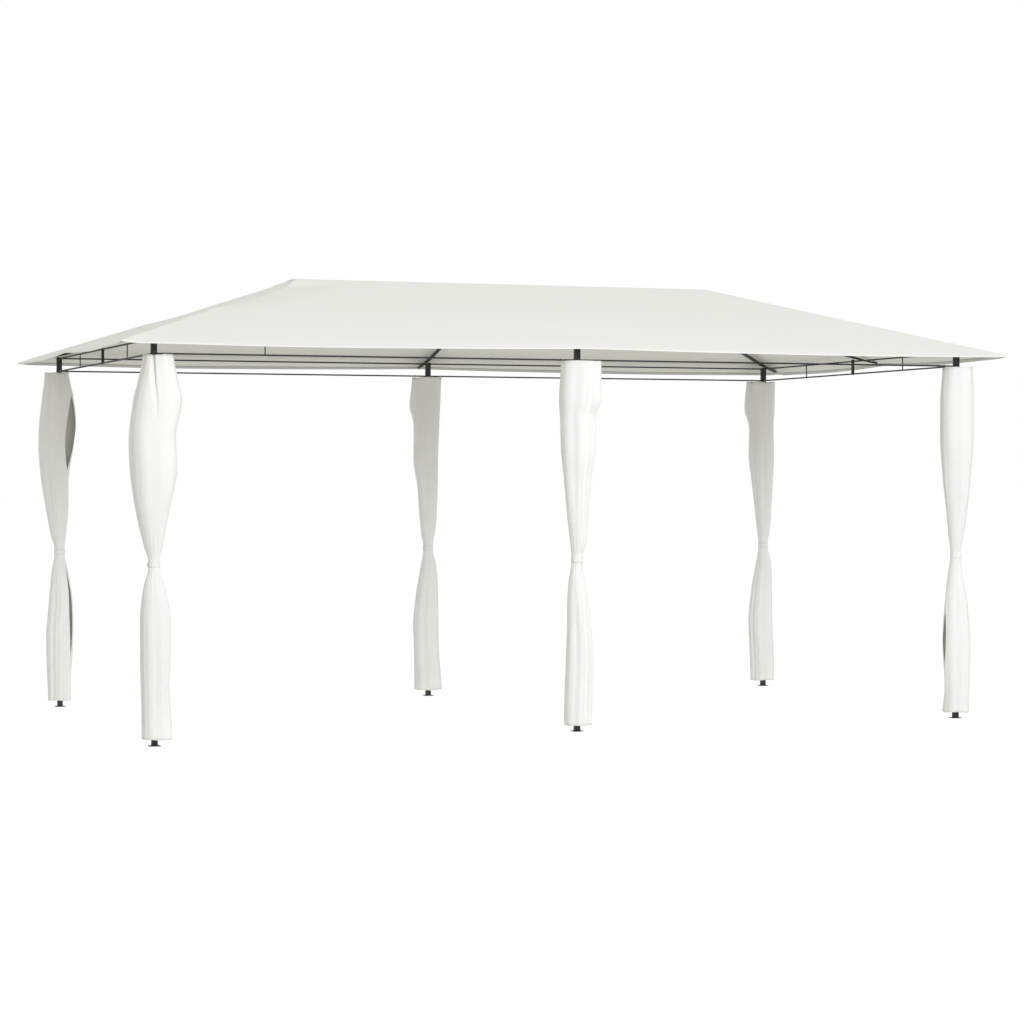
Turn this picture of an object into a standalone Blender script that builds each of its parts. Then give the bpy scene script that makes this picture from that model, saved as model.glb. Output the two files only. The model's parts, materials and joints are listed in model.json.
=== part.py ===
"""Garden gazebo: six steel posts, side rails, a rafter frame, a hipped fabric roof
and a curtain gathered round each post.

The long side runs along X, the open front faces -Y and the ground is Z = 0.
Every sub-part is one closed solid in its own object.
"""

import math

import bmesh
import bpy
from mathutils import Matrix, Vector

# Gap left between pieces that rest on each other
SEAT_GAP = 0.0003

# Posts: square tube on a small base plate, in two rows of three
POST_SPACING_X = 2.7475
POST_HALF_SPACING_Y = 1.4965
POST_SIZE = 0.035
POST_TOP = 2.470
BASE_PLATE_SIZE = 0.068
BASE_PLATE_THICKNESS = 0.003

# Side rails: a lower and an upper rail between the posts
RAIL_SIZE = 0.010
LOWER_RAIL_Z = 2.3713
UPPER_RAIL_Z = 2.4618
THIN_BAR_SIZE = 0.006
LONG_SIDE_BAR_X = -2.055
END_UPRIGHT_SIZE = 0.017
END_UPRIGHT_TOP = 2.4755
END_UPRIGHT_BELOW_RAIL = 0.001

# Fabric roof: four slopes of equal pitch up to a narrow crest
CANOPY_LENGTH = 6.000
CANOPY_WIDTH = 3.476
CANOPY_HEIGHT = 2.952
EAVE_Z = 2.432
CREST_EDGE_Z = 2.939
SLOPE_RUN = 1.525
CANOPY_THICKNESS = 0.003

# Rafters and the ridge frame that they meet
RAFTER_SIZE = 0.019
HUB_X = 1.125
HUB_SIDES = 8
HUB_APOTHEM = 0.032
HUB_HEIGHT = 0.036
HUB_OVERLAP = 0.0015
HIP_REACH = 0.300
MIDDLE_RAFTER_REACH = 0.2115
END_RAFTER_REACH = 0.1925
CROSSBAR_SIZE = 0.012
CROSSBAR_INSET = 0.010
CROSSBAR_END_GAP = 0.008

# Curtains: (height, half width) down one curtain, narrowest under its tie
CURTAIN_PROFILE = (
    (2.355, 0.112),
    (2.200, 0.121),
    (2.000, 0.119),
    (1.800, 0.113),
    (1.600, 0.096),
    (1.400, 0.075),
    (1.200, 0.050),
    (1.125, 0.0365),
    (1.065, 0.0365),
    (1.000, 0.048),
    (0.800, 0.078),
    (0.600, 0.095),
    (0.300, 0.093),
    (0.037, 0.092),
)
CURTAIN_WAIST = 0.0365
CURTAIN_WIDEST = 0.121
CURTAIN_DEPTH_RATIO = 0.82
CURTAIN_OUTWARD_SHIFT = 0.035
CURTAIN_SIDES = 16
TIE_LOW_Z = 1.080
TIE_HIGH_Z = 1.110
TIE_OUTER = 0.0395

ROW_NAMES = (("front", -1), ("back", 1))
COLUMN_NAMES = (("left", -1), ("middle", 0), ("right", 1))


def clear_scene():
    """Remove the objects that a new file holds."""
    for thing in list(bpy.data.objects):
        bpy.data.objects.remove(thing, do_unlink=True)


def make_material(name, colour, roughness, metallic):
    """A Principled material of one plain colour."""
    material = bpy.data.materials.new(name)
    material.use_nodes = True
    shader = material.node_tree.nodes["Principled BSDF"]
    shader.inputs["Base Color"].default_value = (*colour, 1.0)
    shader.inputs["Roughness"].default_value = roughness
    shader.inputs["Metallic"].default_value = metallic
    material.diffuse_color = (*colour, 1.0)
    return material


def steel(name):
    """Black powder-coated steel."""
    return make_material(name + "_coat", (0.022, 0.022, 0.024), 0.45, 0.0)


def cloth(name):
    """Off-white woven polyester."""
    return make_material(name + "_cloth", (0.80, 0.79, 0.75), 0.85, 0.0)


def finish(name, shape, material):
    """Turn a bmesh into an object with outward faces."""
    bmesh.ops.recalc_face_normals(shape, faces=shape.faces)
    mesh = bpy.data.meshes.new(name)
    shape.to_mesh(mesh)
    shape.free()
    mesh.materials.append(material)
    thing = bpy.data.objects.new(name, mesh)
    bpy.context.scene.collection.objects.link(thing)
    return thing


def block(name, low, high, material):
    """A box between two corners, placed by its location."""
    low = Vector(low)
    high = Vector(high)
    shape = bmesh.new()
    bmesh.ops.create_cube(shape, size=1.0, matrix=Matrix.Diagonal((*(high - low), 1.0)))
    thing = finish(name, shape, material)
    thing.location = (low + high) / 2
    return thing


def bar(name, start, end, size, material):
    """A square bar from one point to another, two of its sides upright."""
    start = Vector(start)
    end = Vector(end)
    along = (end - start).normalized()
    across = along.cross(Vector((0, 0, 1))).normalized()
    upward = across.cross(along)
    turn = Matrix((along, across, upward)).transposed().to_4x4()
    shape = bmesh.new()
    length = (end - start).length
    bmesh.ops.create_cube(shape, size=1.0, matrix=Matrix.Diagonal((length, size, size, 1.0)))
    thing = finish(name, shape, material)
    thing.matrix_world = Matrix.Translation((start + end) / 2) @ turn
    return thing


def fuse(thing, joined):
    """Weld the joined solids into the first one."""
    for extra in joined:
        extra.hide_render = True
        extra.display_type = "WIRE"
        weld = thing.modifiers.new("weld " + extra.name, "BOOLEAN")
        weld.operation = "UNION"
        weld.solver = "EXACT"
        weld.object = extra
    return thing


def skin(name, rings, material):
    """Skin closed rings of points in turn, the last one back to the first."""
    shape = bmesh.new()
    loops = [[shape.verts.new(point) for point in ring] for ring in rings]
    for first, second in zip(loops, loops[1:] + loops[:1]):
        for i, corner in enumerate(first):
            j = (i + 1) % len(first)
            shape.faces.new((corner, first[j], second[j], second[i]))
    return finish(name, shape, material)


def post_places():
    """Every post's name, its centre on the ground and its row's outward side."""
    for row, side in ROW_NAMES:
        for column, place in COLUMN_NAMES:
            x = place * POST_SPACING_X
            yield f"{row}_{column}", Vector((x, side * POST_HALF_SPACING_Y, 0)), side


def build_posts():
    """Square posts, each standing on its base plate."""
    half = POST_SIZE / 2
    plate = BASE_PLATE_SIZE / 2
    foot = BASE_PLATE_THICKNESS + SEAT_GAP
    for where, centre, _ in post_places():
        x, y = centre.xy
        low = (x - plate, y - plate, 0)
        high = (x + plate, y + plate, BASE_PLATE_THICKNESS)
        block(f"base_plate_{where}", low, high, steel(f"base_plate_{where}"))
        low = (x - half, y - half, foot)
        high = (x + half, y + half, POST_TOP)
        block(f"post_{where}", low, high, steel(f"post_{where}"))


def rail(name, start, end, z, material):
    """One rail between two post centres, stopping at the posts' faces."""
    start = Vector((*start, z))
    end = Vector((*end, z))
    inset = (end - start).normalized() * (POST_SIZE / 2 + SEAT_GAP)
    return bar(name, start + inset, end - inset, RAIL_SIZE, material)


def upright(name, x, y, size, low, high, material):
    """A short upright bar centred on a side's line."""
    half = size / 2
    return block(name, (x - half, y - half, low), (x + half, y + half, high), material)


def build_long_sides():
    """Rails between the posts of each long side, with one thin bar in the left bay."""
    for row, side in ROW_NAMES:
        y = side * POST_HALF_SPACING_Y
        corner = (-POST_SPACING_X, y)
        middle = (0, y)
        name = f"{row}_left_truss"
        coat = steel(name)
        lower = rail(name, corner, middle, LOWER_RAIL_Z, coat)
        upper = rail(name + "_upper", corner, middle, UPPER_RAIL_Z, coat)
        thin = upright(
            name + "_thin_bar", LONG_SIDE_BAR_X, y, THIN_BAR_SIZE, LOWER_RAIL_Z, UPPER_RAIL_Z, coat
        )
        fuse(lower, (upper, thin))
        corner = (POST_SPACING_X, y)
        for level, z in (("lower", LOWER_RAIL_Z), ("upper", UPPER_RAIL_Z)):
            name = f"{row}_right_{level}_rail"
            rail(name, middle, corner, z, steel(name))


def build_ends():
    """The short sides: two rails, a thin bar in each half and a stout middle upright."""
    for column, side in (("left", -1), ("right", 1)):
        x = side * POST_SPACING_X
        front = (x, -POST_HALF_SPACING_Y)
        back = (x, POST_HALF_SPACING_Y)
        name = f"{column}_end_truss"
        coat = steel(name)
        lower = rail(name, front, back, LOWER_RAIL_Z, coat)
        parts = [rail(name + "_upper", front, back, UPPER_RAIL_Z, coat)]
        low = LOWER_RAIL_Z - RAIL_SIZE / 2 - END_UPRIGHT_BELOW_RAIL
        parts.append(
            upright(name + "_upright", x, 0, END_UPRIGHT_SIZE, low, END_UPRIGHT_TOP, coat)
        )
        for half in (-1, 1):
            y = half * POST_HALF_SPACING_Y / 2
            parts.append(
                upright(
                    f"{name}_thin_bar_{half}", x, y, THIN_BAR_SIZE, LOWER_RAIL_Z, UPPER_RAIL_Z, coat
                )
            )
        fuse(lower, parts)


def ridge_axis_z():
    """Height of the ridge pole's centre line: its top edges touch the sloping crest."""
    crest_pitch = (CANOPY_HEIGHT - CREST_EDGE_Z) / (CANOPY_WIDTH / 2 - SLOPE_RUN)
    edge_drop = crest_pitch * RAFTER_SIZE / 2
    return CANOPY_HEIGHT - CANOPY_THICKNESS - edge_drop - SEAT_GAP - RAFTER_SIZE / 2


def hub_axis_z():
    """Height at which the rafters' centre lines meet, under the ridge pole."""
    return ridge_axis_z() - RAFTER_SIZE / 2 - HUB_HEIGHT / 3


def hub(name, x, material):
    """A faceted block under the ridge pole that the rafters butt against."""
    half_side = math.pi / HUB_SIDES
    radius = HUB_APOTHEM / math.cos(half_side)
    turn = Matrix.Rotation(half_side, 4, "Z")
    shape = bmesh.new()
    bmesh.ops.create_cone(
        shape,
        cap_ends=True,
        segments=HUB_SIDES,
        radius1=radius,
        radius2=radius,
        depth=HUB_HEIGHT,
        matrix=turn,
    )
    thing = finish(name, shape, material)
    top = ridge_axis_z() - RAFTER_SIZE / 2 + HUB_OVERLAP
    thing.location = (x, 0, top - HUB_HEIGHT / 2)
    return thing


def build_ridge():
    """Ridge pole with three hubs and a crossbar that spreads the crest at each end."""
    coat = steel("ridge_pole")
    z = ridge_axis_z()
    crest_half = CANOPY_LENGTH / 2 - SLOPE_RUN
    reach = crest_half - CROSSBAR_INSET
    pole = bar("ridge_pole", (-reach, 0, z), (reach, 0, z), RAFTER_SIZE, coat)
    parts = [hub(f"ridge_hub_{i}", i * HUB_X, coat) for i in (-1, 0, 1)]
    half = CANOPY_WIDTH / 2 - SLOPE_RUN - CROSSBAR_END_GAP
    bar_z = CREST_EDGE_Z - CANOPY_THICKNESS - SEAT_GAP * 2 - CROSSBAR_SIZE / 2
    for side in (-1, 1):
        x = side * (reach - CROSSBAR_SIZE / 2 + HUB_OVERLAP)
        parts.append(
            bar(f"crossbar_{side}", (x, -half, bar_z), (x, half, bar_z), CROSSBAR_SIZE, coat)
        )
    fuse(pole, parts)


def rafter(name, support, support_top, half_support, hub_x, reach):
    """A rafter that rests on a support's outer edge, runs up to a hub and overhangs."""
    hub_centre = Vector((hub_x, 0, hub_axis_z()))
    flat = Vector((support[0] - hub_x, support[1], 0))
    run = flat.length
    outward = flat / run
    slope = 0.0
    for _ in range(8):
        angle = math.atan(slope)
        rest = support_top + SEAT_GAP + RAFTER_SIZE / 2 / math.cos(angle) + slope * half_support
        slope = (hub_centre.z - rest) / run
    bearing = math.atan2(outward.y, outward.x)
    side_turn = math.tau / HUB_SIDES
    skew = bearing - round(bearing / side_turn) * side_turn
    tilt = math.sin(math.atan(slope)) + abs(math.tan(skew))
    start = (HUB_APOTHEM + SEAT_GAP) / math.cos(skew) + RAFTER_SIZE / 2 * tilt
    drop = Vector((0, 0, -slope))
    near = hub_centre + (outward + drop) * start
    far = hub_centre + (outward + drop) * (run + reach)
    bar(name, near, far, RAFTER_SIZE, steel(name))


def build_rafters():
    """Four hip rafters, two on the long sides' middle posts and two on the ends."""
    for row, side_y in ROW_NAMES:
        y = side_y * POST_HALF_SPACING_Y
        for column, side_x in (("left", -1), ("right", 1)):
            x = side_x * POST_SPACING_X
            corner = POST_SIZE / 2 * math.sqrt(2)
            rafter(
                f"hip_rafter_{row}_{column}", (x, y), POST_TOP, corner, side_x * HUB_X, HIP_REACH
            )
        half = POST_SIZE / 2
        rafter(f"middle_rafter_{row}", (0, y), POST_TOP, half, 0, MIDDLE_RAFTER_REACH)
    for column, side_x in (("left", -1), ("right", 1)):
        x = side_x * POST_SPACING_X
        half = END_UPRIGHT_SIZE / 2
        rafter(
            f"end_rafter_{column}", (x, 0), END_UPRIGHT_TOP, half, side_x * HUB_X, END_RAFTER_REACH
        )


def fabric_panel(name, outlines, material):
    """A panel of fabric over one or more flat outlines, thickened downwards."""
    shape = bmesh.new()
    for outline in outlines:
        shape.faces.new([shape.verts.new(point) for point in outline])
    bmesh.ops.remove_doubles(shape, verts=shape.verts, dist=0.0001)
    grown = bmesh.ops.extrude_face_region(shape, geom=shape.faces[:])
    lowered = [part for part in grown["geom"] if isinstance(part, bmesh.types.BMVert)]
    bmesh.ops.translate(shape, verts=lowered, vec=(0, 0, -CANOPY_THICKNESS))
    return finish(name, shape, material)


def build_canopy():
    """The roof's four slopes and its crest, cut to meet along the hips."""
    length = CANOPY_LENGTH / 2
    width = CANOPY_WIDTH / 2
    crest_x = length - SLOPE_RUN
    crest_y = width - SLOPE_RUN
    seam = SEAT_GAP / 2
    for row, side in ROW_NAMES:
        name = f"canopy_{row}_slope"
        outline = (
            (-length + 2 * seam, side * width, EAVE_Z),
            (length - 2 * seam, side * width, EAVE_Z),
            (crest_x - seam, side * (crest_y + seam), CREST_EDGE_Z),
            (-crest_x + seam, side * (crest_y + seam), CREST_EDGE_Z),
        )
        fabric_panel(name, (outline,), cloth(name))
    for column, side in (("left", -1), ("right", 1)):
        name = f"canopy_{column}_slope"
        outline = (
            (side * length, -width + 2 * seam, EAVE_Z),
            (side * length, width - 2 * seam, EAVE_Z),
            (side * (crest_x + seam), crest_y - seam, CREST_EDGE_Z),
            (side * (crest_x + seam), -crest_y + seam, CREST_EDGE_Z),
        )
        fabric_panel(name, (outline,), cloth(name))
    halves = []
    for side in (-1, 1):
        edge = side * (crest_y - seam)
        halves.append(
            (
                (-crest_x + seam, 0, CANOPY_HEIGHT),
                (crest_x - seam, 0, CANOPY_HEIGHT),
                (crest_x - seam, edge, CREST_EDGE_Z),
                (-crest_x + seam, edge, CREST_EDGE_Z),
            )
        )
    fabric_panel("canopy_crest", halves, cloth("canopy_crest"))


def curtain_ring(centre, side, height, half_width):
    """One level of a curtain, an oval that leans outward where it is full."""
    fullness = (half_width - CURTAIN_WAIST) / (CURTAIN_WIDEST - CURTAIN_WAIST)
    depth = half_width * (1 - (1 - CURTAIN_DEPTH_RATIO) * fullness)
    shift = side * CURTAIN_OUTWARD_SHIFT * fullness
    points = []
    for i in range(CURTAIN_SIDES):
        angle = 2 * math.pi * i / CURTAIN_SIDES
        x = centre.x + half_width * math.cos(angle)
        y = centre.y + shift + depth * math.sin(angle)
        points.append((x, y, height))
    return points


def bore_ring(centre, height):
    """The square hollow that the post passes through."""
    half = POST_SIZE / 2 + SEAT_GAP
    points = []
    for i in range(CURTAIN_SIDES):
        angle = 2 * math.pi * i / CURTAIN_SIDES
        c = math.cos(angle)
        s = math.sin(angle)
        reach = half / max(abs(c), abs(s))
        points.append((centre.x + reach * c, centre.y + reach * s, height))
    return points


def build_curtains():
    """A gathered curtain round each post, and the band that ties it."""
    top = CURTAIN_PROFILE[0][0]
    bottom = CURTAIN_PROFILE[-1][0]
    for where, centre, side in post_places():
        rings = [curtain_ring(centre, side, z, half) for z, half in CURTAIN_PROFILE]
        rings.append(bore_ring(centre, bottom))
        rings.append(bore_ring(centre, top))
        skin(f"curtain_{where}", rings, cloth(f"curtain_{where}"))
        inner = CURTAIN_WAIST + SEAT_GAP
        rings = [
            curtain_ring(centre, 0, TIE_HIGH_Z, TIE_OUTER),
            curtain_ring(centre, 0, TIE_LOW_Z, TIE_OUTER),
            curtain_ring(centre, 0, TIE_LOW_Z, inner),
            curtain_ring(centre, 0, TIE_HIGH_Z, inner),
        ]
        skin(f"curtain_tie_{where}", rings, cloth(f"curtain_tie_{where}"))


def main():
    clear_scene()
    build_posts()
    build_long_sides()
    build_ends()
    build_ridge()
    build_rafters()
    build_canopy()
    build_curtains()


main()
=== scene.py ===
"""Garden gazebo: cloth roof, gathered curtains and coated steel frame.

Laid out as a Blender add-on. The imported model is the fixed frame: the long side runs
along X, the open front faces -Y, the ground is Z = 0 and lengths are in metres.
"""

import json
import math
from collections import namedtuple

import bmesh
import bpy
from bpy.props import FloatProperty, FloatVectorProperty, IntProperty, PointerProperty
from bpy.types import Operator, Panel, PropertyGroup
from mathutils import Matrix, Vector, noise

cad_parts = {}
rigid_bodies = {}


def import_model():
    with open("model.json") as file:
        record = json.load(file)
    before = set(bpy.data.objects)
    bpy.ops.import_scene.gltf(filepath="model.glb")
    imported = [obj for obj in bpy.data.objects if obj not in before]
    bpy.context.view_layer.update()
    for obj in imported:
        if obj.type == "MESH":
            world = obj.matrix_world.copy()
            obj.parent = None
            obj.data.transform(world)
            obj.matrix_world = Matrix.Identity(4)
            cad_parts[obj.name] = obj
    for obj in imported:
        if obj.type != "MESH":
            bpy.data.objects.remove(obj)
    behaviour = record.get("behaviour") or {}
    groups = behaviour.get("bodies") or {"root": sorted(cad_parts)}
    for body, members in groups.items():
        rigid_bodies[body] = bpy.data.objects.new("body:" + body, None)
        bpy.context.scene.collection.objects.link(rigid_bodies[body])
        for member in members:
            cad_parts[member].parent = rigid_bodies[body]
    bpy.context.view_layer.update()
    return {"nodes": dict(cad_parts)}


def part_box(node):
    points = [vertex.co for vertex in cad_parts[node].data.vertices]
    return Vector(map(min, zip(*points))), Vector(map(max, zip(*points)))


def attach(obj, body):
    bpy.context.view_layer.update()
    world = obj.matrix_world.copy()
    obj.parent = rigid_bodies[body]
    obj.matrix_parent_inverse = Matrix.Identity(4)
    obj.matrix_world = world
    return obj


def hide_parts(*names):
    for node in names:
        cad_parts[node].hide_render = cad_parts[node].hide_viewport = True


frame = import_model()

bl_info = {
    "name": "Garden Gazebo",
    "version": (1, 0, 0),
    "blender": (4, 5, 0),
    "location": "View3D > Sidebar > Gazebo",
    "description": "Cloth roof, curtains and steel frame of a six-post garden gazebo",
    "category": "Add Mesh",
}


def low_of(node):
    """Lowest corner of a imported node."""
    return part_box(node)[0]


def high_of(node):
    """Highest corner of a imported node."""
    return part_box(node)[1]


def centre_of(node):
    """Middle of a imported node."""
    return (low_of(node) + high_of(node)) / 2


def width_of(node):
    """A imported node's width along X."""
    return (high_of(node) - low_of(node)).x


# Rows and columns of the posts, with the side of the gazebo that each stands on
ROWS = {"front": -1, "back": 1}
COLUMNS = {"left": -1, "middle": 0, "right": 1}
PLACES = {f"{row}_{column}": (COLUMNS[column], ROWS[row]) for row in ROWS for column in COLUMNS}
POST_CENTRES = {place: centre_of(f"post_{place}") for place in PLACES}

# The roof's plan and levels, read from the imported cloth
CANOPY_NODES = tuple(
    f"canopy_{part}" for part in ("front_slope", "back_slope", "left_slope", "right_slope", "crest")
)
PACKED_CLOTH = 0.003
ROOF_X = high_of("canopy_right_slope").x
ROOF_Y = high_of("canopy_back_slope").y
CREST_Y = low_of("canopy_back_slope").y
EAVE_Z = low_of("canopy_front_slope").z + PACKED_CLOTH
CREST_EDGE_Z = high_of("canopy_front_slope").z
CREST_TOP_Z = high_of("canopy_crest").z
RUN = ROOF_Y - CREST_Y
RISE = CREST_EDGE_Z - EAVE_Z
SLOPE_LENGTH = math.hypot(RUN, RISE)

# Length over which the crest's ridge rises from its ends to the pole that carries it
CREST_ROLL = ROOF_X - RUN - high_of("ridge_pole").x - 0.005

# Width beside a hip where the cloth is drawn tight, and over which the hip's sag fades
HIP_CLING = 0.07
HIP_REACH = 0.45

# Shares of a left hip, counted from its foot, over which its sag begins and ends
SAG_BEGINS = (0.45, 0.75)
SAG_ENDS = (0.90, 0.98)

# How soon the hem's droop starts and how far in it fades
DROOP_START = 0.035
DROOP_REACH = 0.45

# Where the hem hangs lowest, from a middle rafter (0) to a corner (1), on a long and on
# a short side, and the sag of a short side's slope as a share of a long one's
DEEPEST_SIDE = 0.62
DEEPEST_END = 0.48
END_SLOPE_SHARE = 0.6

# Ripples of the cloth: (height, how close along X and along Y, level of the noise)
RIPPLES = ((0.0022, 1.7, 2.6, 0.3), (0.0007, 6.0, 8.0, 4.0))

# Puckers that fan out from a corner: depth, waves in a full turn, (middle, width) of
# the belt that they fill
PUCKER_DEPTH = 0.0011
PUCKERS = 26
PUCKER_BELT = (0.24, 0.16)

# Clearance between the cloth and a rafter's end that carries it
SEAT_GAP = 0.0008

# The photograph is taken from the front left
CAMERA_SPOT = Vector((-6.4005, -17.5866, 1.6355))
CAMERA_TURN = 0.3546
CAMERA_TILT = -0.0135
FOCAL_PIXELS = 2709.6
PICTURE_PIXELS = 1024

# Levels shared by the six curtains
CURTAIN_TOP = high_of("curtain_front_left").z
CURTAIN_BOTTOM = low_of("curtain_front_left").z
TIE_LOW = low_of("curtain_tie_front_left").z
TIE_HIGH = high_of("curtain_tie_front_left").z
WAIST_Z = (TIE_LOW + TIE_HIGH) / 2
TIE_RADIUS = width_of("curtain_tie_front_left") / 2
WAIST_RADIUS = 0.0362
WIDEST = 0.121
INNERMOST = 0.0262
DEPTH_LOSS = 0.18
OUTWARD_SHIFT = 0.035

# One curtain: its outline seen from the front left as (height, reach left, reach right)
# from the post, the bearing of its opening, which way the cloth turns from there,
# the places where it gapes (height, half height, angle) and its pleats (bearing of the
# lower end, turn per metre above it, width, depth, top, bottom). Bearings count from the
# view's right, 90 degrees pointing away.
Curtain = namedtuple("Curtain", "outline opening turn seed gapes pleats", defaults=((), ()))
CURTAINS = {
    "back_left": Curtain(
        outline=(
            (2.355, 0.106, 0.074), (2.200, 0.122, 0.111), (2.000, 0.144, 0.125), (1.850, 0.151, 0.108),
            (1.650, 0.138, 0.078), (1.400, 0.101, 0.067), (1.200, 0.061, 0.048), (0.950, 0.058, 0.062),
            (0.750, 0.080, 0.094), (0.500, 0.099, 0.104), (0.037, 0.089, 0.085),
        ),
        opening=-35,
        turn=-1,
        gapes=((1.93, 0.30, 58), (0.66, 0.40, 28)),
        seed=1,
    ),
    "front_left": Curtain(
        outline=(
            (2.355, 0.066, 0.124), (2.200, 0.097, 0.152), (2.080, 0.128, 0.178), (1.850, 0.153, 0.141),
            (1.680, 0.145, 0.148), (1.400, 0.109, 0.096), (1.200, 0.061, 0.054), (0.950, 0.066, 0.072),
            (0.750, 0.088, 0.109), (0.550, 0.087, 0.112), (0.350, 0.082, 0.102), (0.037, 0.077, 0.119),
        ),
        opening=60,
        turn=1,
        gapes=((1.95, 0.45, 52),),
        pleats=((-83, -68, 7, 0.034, 2.45, 1.94), (-50, 0, 4, 0.008, 2.45, 2.16)),
        seed=2,
    ),
    "back_middle": Curtain(
        outline=(
            (2.355, 0.126, 0.104), (2.150, 0.141, 0.095), (2.000, 0.111, 0.089), (1.750, 0.116, 0.082),
            (1.550, 0.086, 0.080), (1.350, 0.070, 0.070), (1.200, 0.052, 0.052), (0.950, 0.056, 0.064),
            (0.750, 0.092, 0.078), (0.500, 0.118, 0.083), (0.300, 0.114, 0.092), (0.037, 0.106, 0.109),
        ),
        opening=-150,
        turn=1,
        seed=3,
    ),
    "front_middle": Curtain(
        outline=(
            (2.355, 0.110, 0.157), (2.100, 0.122, 0.153), (2.000, 0.114, 0.120), (1.800, 0.109, 0.121),
            (1.600, 0.090, 0.095), (1.400, 0.071, 0.078), (1.200, 0.045, 0.064), (0.950, 0.055, 0.055),
            (0.750, 0.070, 0.088), (0.450, 0.075, 0.108), (0.037, 0.090, 0.101),
        ),
        opening=-82,
        turn=-1,
        pleats=((-33, 0, 10, 0.007, 2.45, 1.95),),
        seed=4,
    ),
    "back_right": Curtain(
        outline=(
            (2.355, 0.134, 0.099), (2.150, 0.148, 0.096), (2.000, 0.113, 0.088), (1.800, 0.116, 0.093),
            (1.600, 0.094, 0.084), (1.400, 0.071, 0.069), (1.200, 0.047, 0.054), (0.950, 0.055, 0.063),
            (0.750, 0.092, 0.075), (0.500, 0.116, 0.077), (0.300, 0.108, 0.086), (0.037, 0.100, 0.094),
        ),
        opening=-156,
        turn=1,
        seed=5,
    ),
    "front_right": Curtain(
        outline=(
            (2.355, 0.093, 0.118), (2.150, 0.104, 0.124), (1.900, 0.108, 0.124), (1.600, 0.088, 0.104),
            (1.400, 0.066, 0.082), (1.200, 0.046, 0.049), (0.950, 0.058, 0.050), (0.750, 0.081, 0.090),
            (0.500, 0.091, 0.107), (0.250, 0.082, 0.106), (0.037, 0.087, 0.099),
        ),
        opening=-158,
        turn=1,
        gapes=((0.54, 0.29, 42),),
        seed=6,
    ),
}


class RoofSettings(PropertyGroup):
    """Sizes and colours of the cloth roof."""

    eave_sag: FloatProperty(
        name="Eave sag", description="How far the hem of a long side hangs between two rafter tips",
        default=0.0155, min=0.0, max=0.05, unit="LENGTH",
    )
    end_sag: FloatProperty(
        name="End sag", description="How far the hem of a short side hangs between two rafter tips",
        default=0.0185, min=0.0, max=0.05, unit="LENGTH",
    )
    uneven: FloatProperty(
        name="Uneven sag",
        description="Share by which the hem hangs deeper left of and before a middle rafter",
        default=0.12, min=0.0, max=0.5, subtype="FACTOR",
    )
    slope_sag: FloatProperty(
        name="Slope sag", description="How far a slope hangs in the middle of each of its panels",
        default=0.010, min=0.0, max=0.05, unit="LENGTH",
    )
    droop: FloatProperty(
        name="Hem droop", description="How much steeper the cloth falls past the rafter tips",
        default=0.008, min=0.0, max=0.02, unit="LENGTH",
    )
    hip_sag: FloatProperty(
        name="Hip sag",
        description="How far the upper part of a left hip hangs below its straight line",
        default=0.026, min=0.0, max=0.04, unit="LENGTH",
    )
    hem: FloatProperty(
        name="Hem width", description="Width of the cloth folded under along the eaves",
        default=0.034, min=0.01, max=0.08, unit="LENGTH",
    )
    thickness: FloatProperty(
        name="Cloth thickness", description="Thickness of the coated cloth",
        default=0.001, min=0.0005, max=0.002, unit="LENGTH",
    )
    colour: FloatVectorProperty(
        name="Cloth colour", description="Colour of the cloth's outer face",
        default=(0.826, 0.821, 0.796), min=0.0, max=1.0, size=3, subtype="COLOR",
    )
    lining: FloatVectorProperty(
        name="Underside colour", description="Colour of the cloth's coated underside",
        default=(0.830, 0.830, 0.785), min=0.0, max=1.0, size=3, subtype="COLOR",
    )


class CurtainSettings(PropertyGroup):
    """Sizes and colours of the curtains and what holds them."""

    cloth_width: FloatProperty(
        name="Cloth width", description="Flat width of one curtain",
        default=0.79, min=0.3, max=2.0, unit="LENGTH",
    )
    gathers: IntProperty(
        name="Gathers", description="Small pleats pressed together under the tie",
        default=19, min=6, max=24,
    )
    gather_depth: FloatProperty(
        name="Gather depth", description="Depth of the small pleats under the tie",
        default=0.0020, min=0.0, max=0.009, unit="LENGTH",
    )
    fold_depth: FloatProperty(
        name="Fold depth", description="Depth of the broad folds away from the tie",
        default=0.0125, min=0.0, max=0.02, unit="LENGTH",
    )
    hem: FloatProperty(
        name="Hem width", description="Width of the hems at a curtain's foot and sides",
        default=0.025, min=0.01, max=0.06, unit="LENGTH",
    )
    thickness: FloatProperty(
        name="Cloth thickness", description="Thickness of the curtain cloth",
        default=0.0012, min=0.0005, max=0.002, unit="LENGTH",
    )
    ring_radius: FloatProperty(
        name="Ring radius", description="Radius of a curtain ring, to the middle of its wire",
        default=0.0145, min=0.011, max=0.03, unit="LENGTH",
    )
    colour: FloatVectorProperty(
        name="Curtain colour", description="Colour of the curtain cloth",
        default=(0.900, 0.894, 0.846), min=0.0, max=1.0, size=3, subtype="COLOR",
    )
    tie_colour: FloatVectorProperty(
        name="Tie colour", description="Colour of the bands round the waists",
        default=(0.820, 0.815, 0.775), min=0.0, max=1.0, size=3, subtype="COLOR",
    )
    ring_colour: FloatVectorProperty(
        name="Ring colour", description="Colour of the plastic curtain rings",
        default=(0.62, 0.62, 0.60), min=0.0, max=1.0, size=3, subtype="COLOR",
    )


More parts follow.
